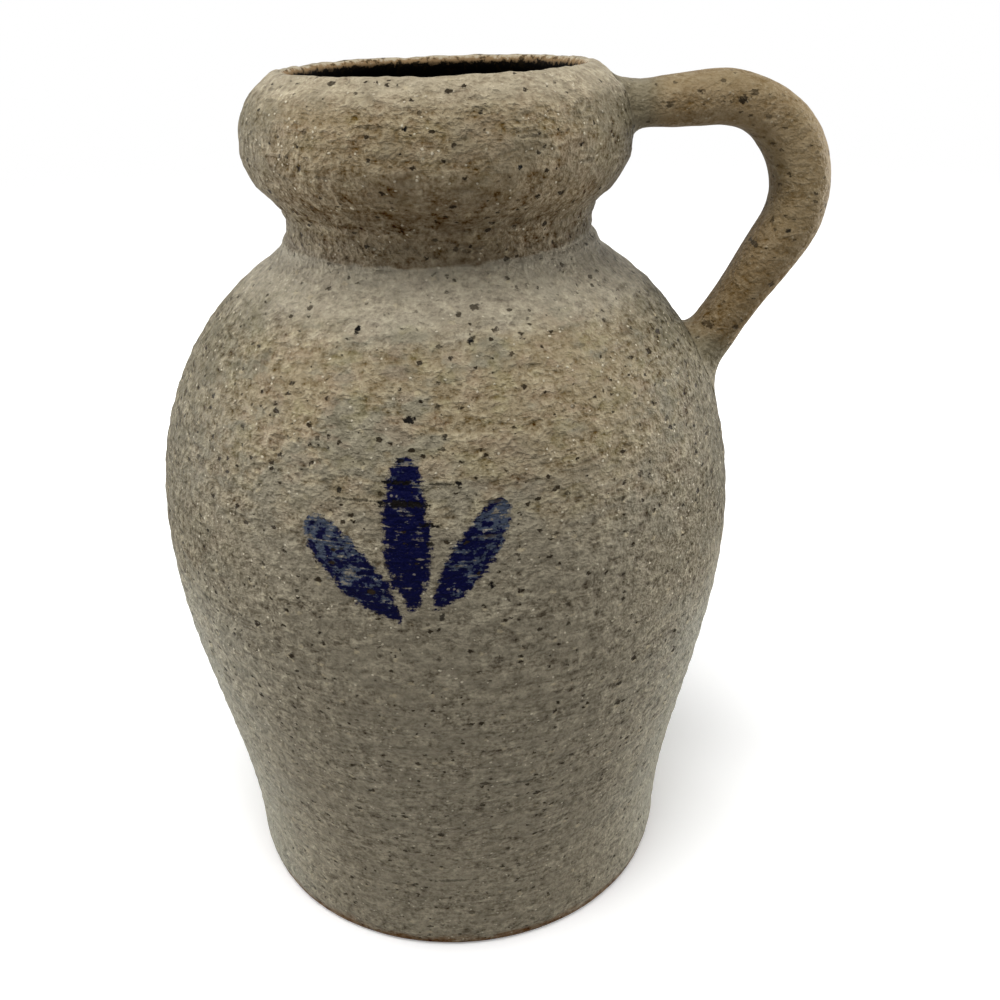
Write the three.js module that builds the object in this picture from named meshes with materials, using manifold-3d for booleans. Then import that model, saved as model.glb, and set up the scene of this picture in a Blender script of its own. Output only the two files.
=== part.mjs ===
// A hand-thrown clay jug with a hollow rolled collar, a pulled side handle and a brushed three-leaf sprig.
// Millimetres, +Z up. The origin is the centre of the underside, the handle points to +X, the sprig to -Y.
import * as THREE from "three";
import { mergeVertices } from "three/addons/utils/BufferGeometryUtils.js";
import Module from "manifold-3d";

const wasm = await Module();
wasm.setup();

// Body, from the base up: radii of the outside, and how far each station lies above the last.
const footRadius = 59.2;
const footEdge = 1.2;
const heelRadius = 60.6;
const heelHeight = 7;
const bellyRadius = 75.6;
const bellyRise = 102.6;
const shoulderRadius = 43.9;
const shoulderRise = 65;
const shoulderLean = 56.6; // degrees from upright where the shoulder runs into the neck
const bellyPull = 29;
const shoulderPull = 24;
const bodyWall = 6.5;
const baseThickness = 9;
const floorCorner = 14;

// Neck, and the collar with its rolled lip.
const neckRadius = 38;
const neckRise = 10.2;
const neckRootPull = 3.7;
const neckTopPull = 4.4;
const neckWall = 5.8;
const collarRadius = 47.3;
const collarRise = 18.9;
const collarRootPull = 6.8;
const collarUnderPull = 11;
const collarWall = 5.6;
const lipRadius = 38.5;
const lipRise = 17;
const lipLean = 56; // degrees from upright where the collar runs into the lip
const collarTopPull = 10.7;
const lipPull = 4.1;
const lipThickness = 3.8;

// The seam between body and collar: a spigot on the body, and the wiped slip band below it.
const seamDrop = 3;
const spigotHeight = 3;
const spigotWall = 2;
const bandWidth = 16;
const bandDepth = 1.6;

// Handle: a bar out of the collar, a round bend, and a straight leg down to the shoulder.
const handleDrop = 8.9; // from the lip's top down to the bar's centre line
const handleReach = 43.2; // from the collar's widest line out to the bend's centre line
const bendRadius = 23;
const barTilt = 4.3; // degrees
const barInset = 9.3; // how far the bar's line runs in behind the collar's widest line, before it is cut
const legTilt = 33; // degrees from upright
const handleWidth = 18;
const rootThickness = 11.4;
const barThickness = 12.9;
const bendThickness = 14.4;
const legThickness = 12.2;

// The clay lutes that fair the handle into the wall.
const luteEdge = 0.4;
const luteSide = 3.5; // spread to either side of the handle where the lute meets the wall
const upperLuteReach = 7; // along the bar
const upperLuteCrown = 0.6; // spread above the bar
const upperLuteThroat = 4.5; // spread below the bar
const upperLuteRoot = 5; // how far the blank runs on inside the wall before it is cut
const lowerLuteReach = 3.5; // up the leg, from where its inner side meets the shoulder
const lowerLuteTail = 6; // spread down the shoulder, outside the leg
const lowerLuteThroat = 3; // spread up the shoulder, inside the leg
const lowerLuteRoot = 3; // the same, from where the tail's end has gone into the wall

// The sprig: three strokes of thick slip fanned out from one foot.
const sprigOffset = -8.4; // round the wall from the front, towards the handle where positive
const sprigFoot = 114;
const strokeThickness = 0.5;
const leftLength = 30;
const leftWidth = 8.2;
const leftTilt = -43; // degrees from upright
const leftAcross = -3;
const leftUp = -1.5;
const centreLength = 32;
const centreWidth = 10.2;
const centreTilt = -2;
const centreUp = 2.2;
const rightLength = 28;
const rightWidth = 7.4;
const rightTilt = 37;
const rightAcross = 4.4;
const rightUp = 2.8;

// Clearances, and how finely the round forms are divided.
const gap = 0.3;
const overrun = 5;
const weldDistance = 0.001;
const roundSegments = 48;
const wallSteps = 10;
const neckSteps = 5;
const collarSteps = 8;
const lipSteps = 5;
const handleSteps = 36;
const handleSides = 20;
const luteSteps = 7;
const strokeSteps = 7;

// Shapes without a size of their own.
const flankPullShare = 1 / 3;
const cornerPullShare = 0.45;
const lipCentreShare = 0.35;
const handleSquareness = 2.4;
const luteSweep = 2;
const thicknessShares = [0, 0.2, 0.5, 0.78, 1];
const strokeTipShares = [0.5, 0.3];
const strokeTopShares = [0.78, 0.9];

const radians = THREE.MathUtils.degToRad;
const point = (x, y) => new THREE.Vector2(x, y);

// A cubic curve from one end to the other, whose handles are given as vectors from its own ends.
function sweep(start, startPull, endPull, end) {
  return new THREE.CubicBezierCurve(start, start.clone().add(startPull), end.clone().add(endPull), end);
}

// Unit direction of a wall that climbs and leans in towards the axis.
function leaning(degrees) {
  return point(-Math.sin(radians(degrees)), Math.cos(radians(degrees)));
}

// Heights of the stations.
const bellyHeight = heelHeight + bellyRise;
const shoulderHeight = bellyHeight + shoulderRise;
const neckHeight = shoulderHeight + neckRise;
const collarHeight = neckHeight + collarRise;
const lipHeight = collarHeight + lipRise;

// The lip is a half round: its centre, and where the collar's outside runs into it.
const lipHalf = lipThickness / 2;
const lipCentre = point(lipRadius - lipThickness * lipCentreShare, lipHeight - lipHalf);
const lipTouch = lipCentre
  .clone()
  .add(point(Math.cos(radians(lipLean)), Math.sin(radians(lipLean))).multiplyScalar(lipHalf));

// The outside of the whole wall, heel to lip, as one path.
const upright = point(0, 1);
const outside = new THREE.CurvePath();
outside.add(
  sweep(
    point(heelRadius, heelHeight),
    upright.clone().multiplyScalar(bellyRise * flankPullShare),
    upright.clone().multiplyScalar(-bellyRise * flankPullShare),
    point(bellyRadius, bellyHeight),
  ),
);
outside.add(
  sweep(
    point(bellyRadius, bellyHeight),
    upright.clone().multiplyScalar(bellyPull),
    leaning(shoulderLean).multiplyScalar(-shoulderPull),
    point(shoulderRadius, shoulderHeight),
  ),
);
outside.add(
  sweep(
    point(shoulderRadius, shoulderHeight),
    leaning(shoulderLean).multiplyScalar(neckRootPull),
    upright.clone().multiplyScalar(-neckTopPull),
    point(neckRadius, neckHeight),
  ),
);
outside.add(
  sweep(
    point(neckRadius, neckHeight),
    upright.clone().multiplyScalar(collarRootPull),
    upright.clone().multiplyScalar(-collarUnderPull),
    point(collarRadius, collarHeight),
  ),
);
outside.add(
  sweep(
    point(collarRadius, collarHeight),
    upright.clone().multiplyScalar(collarTopPull),
    leaning(lipLean).multiplyScalar(-lipPull),
    lipTouch,
  ),
);

// Lengths along that path.
const [bellyAt, shoulderAt, neckAt, collarAt, lipAt] = outside.getCurveLengths();
const seamAt = neckAt - seamDrop;
const bandAt = seamAt - bandWidth;

// Points along the outside between two lengths, set in from it by a depth.
function wallPoints(from, to, steps, depth = 0) {
  return Array.from({ length: steps + 1 }, (_, i) => {
    const share = Math.min(THREE.MathUtils.lerp(from, to, i / steps) / lipAt, 1); // rounding can pass the end
    const along = outside.getTangent(share);
    return outside.getPoint(share).add(point(-along.y, along.x).multiplyScalar(depth));
  });
}

// An outline moved outwards by a distance, each point along its own normal.
function grown(outline, distance) {
  return outline.map((here, i) => {
    const before = outline[Math.max(i - 1, 0)];
    const after = outline[Math.min(i + 1, outline.length - 1)];
    const along = after.clone().sub(before).normalize();
    return here.clone().add(point(along.y, -along.x).multiplyScalar(distance));
  });
}

const seam = outside.getPoint(seamAt / lipAt);
const bandPoints = wallPoints(bandAt, seamAt, neckSteps);
const bodyOutside = [
  point(footRadius, 0),
  point(footRadius + footEdge, footEdge),
  ...wallPoints(0, bellyAt, wallSteps),
  ...wallPoints(bellyAt, bandAt, wallSteps).slice(1),
];
const collarOutside = [
  ...wallPoints(seamAt, neckAt, 1),
  ...wallPoints(neckAt, collarAt, collarSteps).slice(1),
  ...wallPoints(collarAt, lipAt, collarSteps).slice(1),
];

// The inside of the body, from the middle of the floor up to the seam.
const seamBore = neckRadius - neckWall;
const shoulderInside = point(shoulderRadius, shoulderHeight).add(
  leaning(shoulderLean).rotateAround(point(0, 0), Math.PI / 2).multiplyScalar(bodyWall),
);
const floorSweep = sweep(
  point(heelRadius - bodyWall - floorCorner, baseThickness),
  point(floorCorner * cornerPullShare, 0),
  point(0, -floorCorner * cornerPullShare),
  point(heelRadius - bodyWall, baseThickness + floorCorner),
);
const flankInside = sweep(
  point(heelRadius - bodyWall, baseThickness + floorCorner),
  upright.clone().multiplyScalar(bellyRise * flankPullShare),
  upright.clone().multiplyScalar(-bellyRise * flankPullShare),
  point(bellyRadius - bodyWall, bellyHeight),
);
const shoulderUnder = sweep(
  point(bellyRadius - bodyWall, bellyHeight),
  upright.clone().multiplyScalar(bellyPull),
  leaning(shoulderLean).multiplyScalar(-shoulderPull),
  shoulderInside,
);
const neckInside = sweep(
  shoulderInside,
  leaning(shoulderLean).multiplyScalar(neckRootPull),
  upright.clone().multiplyScalar(-neckTopPull),
  point(seamBore, seam.y),
);
const bodyInside = [
  ...floorSweep.getPoints(neckSteps),
  ...flankInside.getPoints(wallSteps).slice(1),
  ...shoulderUnder.getPoints(wallSteps).slice(1),
  ...neckInside.getPoints(neckSteps).slice(1),
];

// The body stands on a flat base; a step under the slip band and a spigot at the top finish its outside.
const stepPoints = wallPoints(bandAt, seamAt, neckSteps, bandDepth + gap);
stepPoints[stepPoints.length - 1].y = seam.y;
const bodyProfile = [
  point(0, 0),
  ...bodyOutside,
  ...stepPoints,
  point(seamBore + spigotWall, seam.y),
  point(seamBore + spigotWall, seam.y + spigotHeight),
  point(seamBore, seam.y + spigotHeight),
  ...bodyInside.reverse(),
  point(0, baseThickness),
];

// The collar sits on the body's top edge and closes over the spigot.
const socketRadius = seamBore + spigotWall + gap;
const socketTop = seam.y + spigotHeight + gap;
const collarLower = sweep(
  point(seamBore, socketTop),
  upright.clone().multiplyScalar(collarRootPull),
  upright.clone().multiplyScalar(-collarUnderPull),
  point(collarRadius - collarWall, collarHeight),
);
const collarUpper = sweep(
  point(collarRadius - collarWall, collarHeight),
  upright.clone().multiplyScalar(collarTopPull - collarWall / 2),
  upright.clone().multiplyScalar(-lipPull),
  point(lipCentre.x - lipHalf, lipCentre.y),
);
const lipRound = Array.from({ length: lipSteps }, (_, i) => {
  const turn = radians(lipLean) + ((Math.PI - radians(lipLean)) * (i + 1)) / lipSteps;
  return lipCentre.clone().add(point(Math.cos(turn), Math.sin(turn)).multiplyScalar(lipHalf));
});
const collarProfile = [
  point(socketRadius, seam.y),
  ...collarOutside,
  ...lipRound,
  ...collarUpper.getPoints(collarSteps).reverse().slice(1),
  ...collarLower.getPoints(collarSteps).reverse().slice(1),
  point(socketRadius, socketTop),
];

// A profile turned round the upright axis, closed from its last point back to its first.
function turned(profile) {
  const first = profile[0];
  const closed = first.x === 0 ? profile : [...profile, first.clone()];
  return new THREE.LatheGeometry(closed, roundSegments).rotateX(Math.PI / 2);
}

// A closed mesh as a solid, and a solid back as a geometry.
function solidOf(geometry) {
  const bare = geometry.clone();
  bare.deleteAttribute("normal");
  bare.deleteAttribute("uv");
  const welded = mergeVertices(bare, weldDistance);
  const mesh = new wasm.Mesh({
    numProp: 3,
    vertProperties: welded.attributes.position.array,
    triVerts: new Uint32Array(welded.index.array),
  });
  return new wasm.Manifold(mesh);
}

function geometryOf(solid) {
  const mesh = solid.getMesh();
  return new THREE.BufferGeometry()
    .setAttribute("position", new THREE.BufferAttribute(mesh.vertProperties, 3))
    .setIndex(new THREE.BufferAttribute(mesh.triVerts, 1));
}

// The body or collar filled to the axis and grown by a distance, which whatever leans on it is cut by.
function filled(outline, distance) {
  const round = grown(outline, distance);
  const low = point(0, round[0].y - distance);
  const high = point(0, round[round.length - 1].y + distance);
  return solidOf(turned([low, point(round[0].x, low.y), ...round, point(round[round.length - 1].x, high.y), high]));
}

const fullBody = [...bodyOutside, ...bandPoints.slice(1)];

// A skin through rings of points, closed at both ends.
function lofted(rings) {
  const sides = rings[0].length;
  const ends = [rings[0], rings[rings.length - 1]].map((ring) =>
    ring.reduce((sum, p) => sum.clone().add(p)).divideScalar(sides),
  );
  const vertices = [...rings.flat(), ...ends];
  const faces = [];
  for (let side = 0; side < sides; side += 1) {
    const next = (side + 1) % sides;
    for (let ring = 0; ring < rings.length - 1; ring += 1) {
      const low = ring * sides;
      const high = low + sides;
      faces.push(low + side, high + side, low + next);
      faces.push(low + next, high + side, high + next);
    }
    const last = (rings.length - 1) * sides;
    faces.push(vertices.length - 2, side, next);
    faces.push(vertices.length - 1, last + next, last + side);
  }
  return new THREE.BufferGeometry().setFromPoints(vertices).setIndex(faces);
}

// The handle's centre line in the plane through the axis: bar, bend, leg.
const bendCentre = point(collarRadius + handleReach - bendRadius, lipHeight - handleDrop - bendRadius);
const bendStart = Math.PI / 2 + radians(barTilt);
const bendEnd = -radians(legTilt);
const onBend = (turn) => point(Math.cos(turn), Math.sin(turn)).multiplyScalar(bendRadius).add(bendCentre);
const barEnd = onBend(bendStart);
const legTop = onBend(bendEnd);
const barRun = (barEnd.x - collarRadius + barInset) / Math.cos(radians(barTilt));
const legRun = (legTop.x - shoulderRadius) / Math.sin(radians(legTilt));
const barRoot = barEnd.clone().sub(point(Math.cos(radians(barTilt)), Math.sin(radians(barTilt))).multiplyScalar(barRun));
const legRoot = legTop.clone().sub(point(Math.sin(radians(legTilt)), Math.cos(radians(legTilt))).multiplyScalar(legRun));
const handleLine = new THREE.CurvePath();
handleLine.add(new THREE.LineCurve(barRoot, barEnd));
handleLine.add(
  new THREE.EllipseCurve(bendCentre.x, bendCentre.y, bendRadius, bendRadius, bendStart, bendEnd, true),
);
handleLine.add(new THREE.LineCurve(legTop, legRoot));
const handleLength = handleLine.getLength();

// The thickness at a share of the handle's length.
function thicknessAt(share) {
  const sizes = [rootThickness, barThickness, bendThickness, legThickness, legThickness];
  const i = Math.max(1, thicknessShares.findIndex((stop) => share <= stop));
  const between = (share - thicknessShares[i - 1]) / (thicknessShares[i] - thicknessShares[i - 1]);
  return THREE.MathUtils.lerp(sizes[i - 1], sizes[i], THREE.MathUtils.smoothstep(between, 0, 1));
}

// A soft-cornered section across the handle, grown by margins on its outer, inner and flat sides.
function handleRing(length, outer, inner = outer, side = outer) {
  const share = THREE.MathUtils.clamp(length / handleLength, 0, 1);
  const centre = handleLine.getPoint(share);
  const along = handleLine.getTangent(share);
  const half = thicknessAt(share) / 2;
  const wide = handleWidth / 2 + side;
  const squared = (value) => Math.sign(value) * Math.abs(value) ** (2 / handleSquareness);
  return Array.from({ length: handleSides }, (_, i) => {
    const turn = (2 * Math.PI * i) / handleSides;
    const up = squared(Math.cos(turn)) * (half + (Math.cos(turn) > 0 ? outer : inner));
    return new THREE.Vector3(
      centre.x - along.y * up,
      squared(Math.sin(turn)) * wide,
      centre.y + along.x * up,
    );
  });
}

function handleBlank(margin) {
  const rings = Array.from({ length: handleSteps + 1 }, (_, i) =>
    handleRing((handleLength * i) / handleSteps, margin),
  );
  return solidOf(lofted(rings));
}

// The outside's radius at a height.
function outsideRadius(height) {
  const i = Math.max(1, outsidePoints.findIndex((p) => p.y >= height));
  const [low, high] = [outsidePoints[i - 1], outsidePoints[i]];
  return THREE.MathUtils.lerp(low.x, high.x, (height - low.y) / (high.y - low.y));
}
const outsidePoints = wallPoints(0, lipAt, wallSteps * collarSteps);

// The first and last length along the handle where a line beside its centre line is clear of the wall.
function clearLengths(offset) {
  const lengths = Array.from({ length: handleSteps * handleSides + 1 }, (_, i) => {
    const share = i / (handleSteps * handleSides);
    const along = handleLine.getTangent(share);
    const here = handleLine.getPoint(share).add(point(-along.y, along.x).multiplyScalar(offset));
    return here.x > outsideRadius(here.y) ? share * handleLength : 0;
  }).filter((length) => length > 0);
  return [lengths[0], lengths[lengths.length - 1]];
}
const leavesWall = clearLengths(0)[0];
const throatMeetsWall = clearLengths(-legThickness / 2 - gap - luteEdge)[1];
const tailMeetsWall = clearLengths(legThickness / 2 + gap + luteEdge + lowerLuteTail)[1];

// A lute: handle sections that swell towards the wall, cut to lie round the handle and on the wall.
function luteSolid(from, to, outerSpread, innerSpread) {
  const rings = Array.from({ length: luteSteps + 1 }, (_, i) => {
    const share = i / luteSteps;
    const spreads = [outerSpread, innerSpread, luteSide].map((flare) => gap + luteEdge + flare * share ** luteSweep);
    return handleRing(THREE.MathUtils.lerp(from, to, share), ...spreads);
  });
  const blank = solidOf(lofted(from > to ? rings.reverse() : rings));
  return blank.subtract(wallCutter).subtract(handleCutter);
}

const wallCutter = filled(fullBody, gap).add(filled(collarOutside, gap));
const handleCutter = handleBlank(gap);
const handleSolid = handleBlank(0).subtract(wallCutter);
const upperLute = luteSolid(
  leavesWall + upperLuteReach,
  leavesWall - upperLuteRoot,
  upperLuteCrown,
  upperLuteThroat,
);
const lowerLute = luteSolid(
  throatMeetsWall - lowerLuteReach,
  tailMeetsWall + lowerLuteRoot,
  lowerLuteTail,
  lowerLuteThroat,
);

// A stroke is a leaf outline cut from a thin skin over the body's wall.
const strokeSkin = filled(bodyOutside, gap + strokeThickness).subtract(filled(bodyOutside, gap));
function strokeSolid(length, width, tilt, across, up) {
  const leaf = new THREE.Shape();
  const [tipAcross, tipUp] = strokeTipShares;
  const [topAcross, topUp] = strokeTopShares;
  leaf.moveTo(0, 0);
  leaf.bezierCurveTo(width * tipAcross, length * tipUp, width * topAcross, length * topUp, 0, length);
  leaf.bezierCurveTo(-width * topAcross, length * topUp, -width * tipAcross, length * tipUp, 0, 0);
  const depth = bellyRadius + overrun;
  const prism = new THREE.ExtrudeGeometry(leaf, { depth, bevelEnabled: false, curveSegments: strokeSteps })
    .rotateZ(-radians(tilt))
    .rotateX(Math.PI / 2)
    .rotateZ((sprigOffset + across) / outsideRadius(sprigFoot))
    .translate(0, 0, sprigFoot + up);
  return solidOf(prism).intersect(strokeSkin);
}

// The slip band fills the step below the seam, flush with the wall.
const bandEnds = [bandAt + gap, seamAt - gap];
const bandProfile = [
  ...wallPoints(...bandEnds, neckSteps),
  ...wallPoints(...bandEnds, neckSteps, bandDepth).reverse(),
];

const grogClay = { color: 0x8d8169, roughness: 0.72, metalness: 0 };
const bodyClay = new THREE.MeshStandardMaterial(grogClay);
const collarClay = new THREE.MeshStandardMaterial({ ...grogClay, color: 0x8a8270 });
const handleClay = new THREE.MeshStandardMaterial({ ...grogClay, color: 0x8b7757, roughness: 0.6 });
const wipedSlip = new THREE.MeshStandardMaterial({ color: 0x8c8a7b, roughness: 0.55, metalness: 0 });
const cobaltSlip = new THREE.MeshStandardMaterial({ color: 0x161c4a, roughness: 0.5, metalness: 0 });

const jug = new THREE.Group();
function place(name, geometry, material) {
  const mesh = new THREE.Mesh(geometry, material);
  mesh.name = name;
  jug.add(mesh);
}

place("body", turned(bodyProfile), bodyClay);
place("collar", turned(collarProfile), collarClay);
place("neck_lute", turned(bandProfile), wipedSlip);
place("handle", geometryOf(handleSolid), handleClay);
place("upper_handle_lute", geometryOf(upperLute), wipedSlip);
place("lower_handle_lute", geometryOf(lowerLute), wipedSlip);
const leftStroke = strokeSolid(leftLength, leftWidth, leftTilt, leftAcross, leftUp);
const centreStroke = strokeSolid(centreLength, centreWidth, centreTilt, 0, centreUp);
const rightStroke = strokeSolid(rightLength, rightWidth, rightTilt, rightAcross, rightUp);
place("leaf_stroke_left", geometryOf(leftStroke), cobaltSlip);
place("leaf_stroke_centre", geometryOf(centreStroke), cobaltSlip);
place("leaf_stroke_right", geometryOf(rightStroke), cobaltSlip);

export default jug;
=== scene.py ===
import math
import bpy
import numpy as np
from mathutils import Matrix, Vector


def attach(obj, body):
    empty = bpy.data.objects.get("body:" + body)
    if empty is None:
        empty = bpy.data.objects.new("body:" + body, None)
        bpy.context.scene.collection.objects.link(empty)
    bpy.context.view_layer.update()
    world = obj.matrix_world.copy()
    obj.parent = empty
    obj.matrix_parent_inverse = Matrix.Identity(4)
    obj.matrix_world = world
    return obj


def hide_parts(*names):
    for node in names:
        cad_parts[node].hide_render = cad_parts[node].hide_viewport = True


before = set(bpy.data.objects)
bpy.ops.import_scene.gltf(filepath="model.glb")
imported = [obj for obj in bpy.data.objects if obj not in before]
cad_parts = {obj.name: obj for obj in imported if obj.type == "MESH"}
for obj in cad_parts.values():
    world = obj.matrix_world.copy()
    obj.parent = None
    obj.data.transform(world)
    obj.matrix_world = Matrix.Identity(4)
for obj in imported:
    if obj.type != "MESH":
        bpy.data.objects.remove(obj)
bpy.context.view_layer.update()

mm = 0.001

# camera: where the photograph was taken from
view = {
    "distance": 281.61,  # lens to the jug's axis, along -Y
    "height": 240.51,
    "down": 25.575,  # degrees
    "towardsHandle": 2.838,
    "roll": -0.730,
    "focalPixels": 1117.04,
    "framePixels": 1000,
    "sensor": 36.0,
    "nearest": 0.01,  # metres
}


def makeCamera():
    down, turn, roll = (math.radians(view[k]) for k in ("down", "towardsHandle", "roll"))
    ahead = Vector((math.sin(turn) * math.cos(down), math.cos(turn) * math.cos(down), -math.sin(down)))
    right = Vector((math.cos(turn), -math.sin(turn), 0))
    up = right.cross(ahead)
    side = right * math.cos(roll) + up * math.sin(roll)
    top = up * math.cos(roll) - right * math.sin(roll)
    data = bpy.data.cameras.new("photoCamera")
    data.sensor_width = view["sensor"]
    data.lens = view["focalPixels"] / view["framePixels"] * view["sensor"]
    data.clip_start = view["nearest"]
    camera = bpy.data.objects.new("photoCamera", data)
    axes = Matrix((side, top, -ahead)).transposed().to_4x4()
    camera.matrix_world = Matrix.Translation(Vector((0, -view["distance"], view["height"])) * mm) @ axes
    bpy.context.collection.objects.link(camera)
    bpy.context.scene.camera = camera


makeCamera()
print("camera: set")

# the turned wall: body, neck and collar as one profile, split into its pieces later
wall = {
    "footRadius": 58.9,
    "footEdge": 1.3,
    "heelRadius": 60.3,
    "heelHeight": 7.0,
    "bellyRadius": 75.2,
    "bellyHeight": 109.6,
    "bellyPull": 29.0,
    "shoulderRadius": 43.7,
    "shoulderHeight": 174.6,
    "shoulderLean": 56.6,  # degrees from upright
    "shoulderPull": 24.0,
    "neckRadius": 37.8,
    "neckHeight": 184.8,
    "neckRootPull": 3.7,
    "neckTopPull": 4.4,
    "collarRadius": 47.0,
    "collarHeight": 203.7,
    "collarRootPull": 6.8,
    "collarUnderPull": 11.0,
    "collarTopPull": 10.7,
    "lipRadius": 38.2,
    "lipHeight": 219.75,
    "lipLean": 56.0,
    "lipPull": 4.1,
    "lipThickness": 3.6,
    "bodyWall": 6.5,
    "collarWall": 5.6,
    "neckWall": 5.8,
    "floor": 9.0,
    "floorCorner": 14.0,
    "mouthPull": 4.0,
    "throatPull": 7.0,
    "throatUnderPull": 9.0,
    "borePull": 6.0,
    "boreRootPull": 4.0,
    "bandWidth": 16.0,  # wiped slip below the seam
    "seamDrop": 3.0,  # from the narrowest line of the neck down to the seam
    "bandDepth": 1.9,
    "creaseDrop": 0.8,  # from the seam down to the line under the neck
    "creaseRoll": 0.14,
    "creaseGroove": 0.30,
    "ledgeRise": 3.6,  # from the narrowest line up to the line under the collar
    "ledgeRoll": 0.12,
    "ledgeGroove": 0.24,
    "lipRise": 0.0174,  # the lip runs up towards the handle and down towards the back
    "lipFall": 0.0145,
    "columns": 480,
    "frontColumns": 0.25,  # how much closer the columns stand at the front than on average
    "undersideStep": 8.0,
    "edgeStep": 0.6,
    "rowStep": 1.15,
    "bandStep": 0.8,
    "neckStep": 0.4,
    "collarStep": 0.85,
    "throatStep": 1.6,
    "insideStep": 7.0,
}


def bezier(a, b, c, d, steps=60):
    t = np.linspace(0, 1, steps)[:, None]
    a, b, c, d = (np.array(p, float) for p in (a, b, c, d))
    return (1 - t) ** 3 * a + 3 * (1 - t) ** 2 * t * b + 3 * (1 - t) * t**2 * c + t**3 * d


def leaning(degrees):
    return np.array((-math.sin(math.radians(degrees)), math.cos(math.radians(degrees))))


def makeProfile(w=wall):
    # from the middle of the underside up the outside to the lip, then down the inside to the floor
    up = np.array((0.0, 1.0))
    heel = np.array((w["heelRadius"], w["heelHeight"]))
    belly = np.array((w["bellyRadius"], w["bellyHeight"]))
    shoulder = np.array((w["shoulderRadius"], w["shoulderHeight"]))
    neck = np.array((w["neckRadius"], w["neckHeight"]))
    collar = np.array((w["collarRadius"], w["collarHeight"]))
    half = w["lipThickness"] / 2
    lipCentre = np.array((w["lipRadius"] - 0.35 * w["lipThickness"], w["lipHeight"] - half))
    lean = math.radians(w["lipLean"])
    touch = lipCentre + half * np.array((math.cos(lean), math.sin(lean)))
    shoulderWay, lipWay = leaning(w["shoulderLean"]), leaning(w["lipLean"])
    third = (w["bellyHeight"] - w["heelHeight"]) / 3
    foot, edge = w["footRadius"], w["footEdge"]
    parts = {
        "underside": np.array(((0, 0), (foot - edge, 0))),
        "edge": bezier((foot - edge, 0), (foot - edge * 0.4, 0), (foot, edge * 0.5), (foot + 0.2, edge), 8),
        "heel": bezier((foot + 0.2, edge), (foot + 0.5, edge + 1.5), heel - 2 * up, heel, 12),
        "flank": bezier(heel, heel + third * up, belly - third * up, belly),
        "shoulder": bezier(
            belly, belly + w["bellyPull"] * up, shoulder - w["shoulderPull"] * shoulderWay, shoulder
        ),
        "neck": bezier(
            shoulder, shoulder + w["neckRootPull"] * shoulderWay, neck - w["neckTopPull"] * up, neck
        ),
        "collarUnder": bezier(
            neck, neck + w["collarRootPull"] * up, collar - w["collarUnderPull"] * up, collar
        ),
        "collarTop": bezier(collar, collar + w["collarTopPull"] * up, touch - w["lipPull"] * lipWay, touch),
    }
    turn = np.linspace(lean, math.pi, 12)
    parts["lip"] = lipCentre + half * np.stack((np.cos(turn), np.sin(turn)), 1)
    mouth = parts["lip"][-1]
    inCollar = collar - (w["collarWall"], 0)
    bore = neck - (w["neckWall"], 0)
    inShoulder = shoulder - w["bodyWall"] * np.array((shoulderWay[1], -shoulderWay[0]))
    inBelly = belly - (w["bodyWall"], 0)
    corner = w["floorCorner"]
    inHeel = np.array((w["heelRadius"] - w["bodyWall"], w["floor"] + corner))
    nearFloor = (inHeel[0] - 0.5 * corner, w["floor"])
    floorEdge = np.array((inHeel[0] - corner, w["floor"]))
    bellyTop = inBelly + w["bellyPull"] * up
    belowShoulder = inShoulder - w["shoulderPull"] * shoulderWay
    parts["insideCollar"] = np.vstack(
        (
            bezier(mouth, mouth - w["mouthPull"] * up, inCollar + w["throatPull"] * up, inCollar, 20),
            bezier(inCollar, inCollar - w["throatUnderPull"] * up, bore + w["borePull"] * up, bore, 20),
        )
    )
    boreRoot = bore - w["boreRootPull"] * up
    parts["insideBody"] = np.vstack(
        (
            bezier(bore, boreRoot, inShoulder + w["boreRootPull"] * shoulderWay, inShoulder, 12),
            bezier(inShoulder, belowShoulder, bellyTop, inBelly, 30),
            bezier(inBelly, inBelly - third * up, inHeel + third * up, inHeel, 30),
            bezier(inHeel, inHeel - (0, 0.45 * corner), nearFloor, floorEdge, 12),
            np.array((floorEdge, (0, w["floor"]))),
        )
    )
    points, ends, total = [], {}, 0.0
    for name, part in parts.items():
        if points and np.allclose(points[-1], part[0], atol=1e-6):
            part = part[1:]
        for p in part:
            if points:
                total += float(np.hypot(*(p - points[-1])))
            points.append(np.array(p, float))
        ends[name] = total
    points = np.array(points)
    steps = np.hypot(*np.diff(points, axis=0).T)
    keep = np.concatenate(([True], steps > 1e-9))
    points = points[keep]
    lengths = np.concatenate(([0], np.cumsum(np.hypot(*np.diff(points, axis=0).T))))
    return points, lengths, ends


profile, profileLengths, ends = makeProfile()
seamAt = ends["neck"] - wall["seamDrop"]
bandAt = seamAt - wall["bandWidth"]


def onProfile(length):
    return np.interp(length, profileLengths, profile[:, 0]), np.interp(length, profileLengths, profile[:, 1])


outside = (profileLengths > ends["underside"]) & (profileLengths <= ends["collarTop"])


def wallRadius(height):
    return np.interp(height, profile[outside, 1], profile[outside, 0])


def wallLength(height):
    return np.interp(height, profile[outside, 1], profileLengths[outside])


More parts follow.
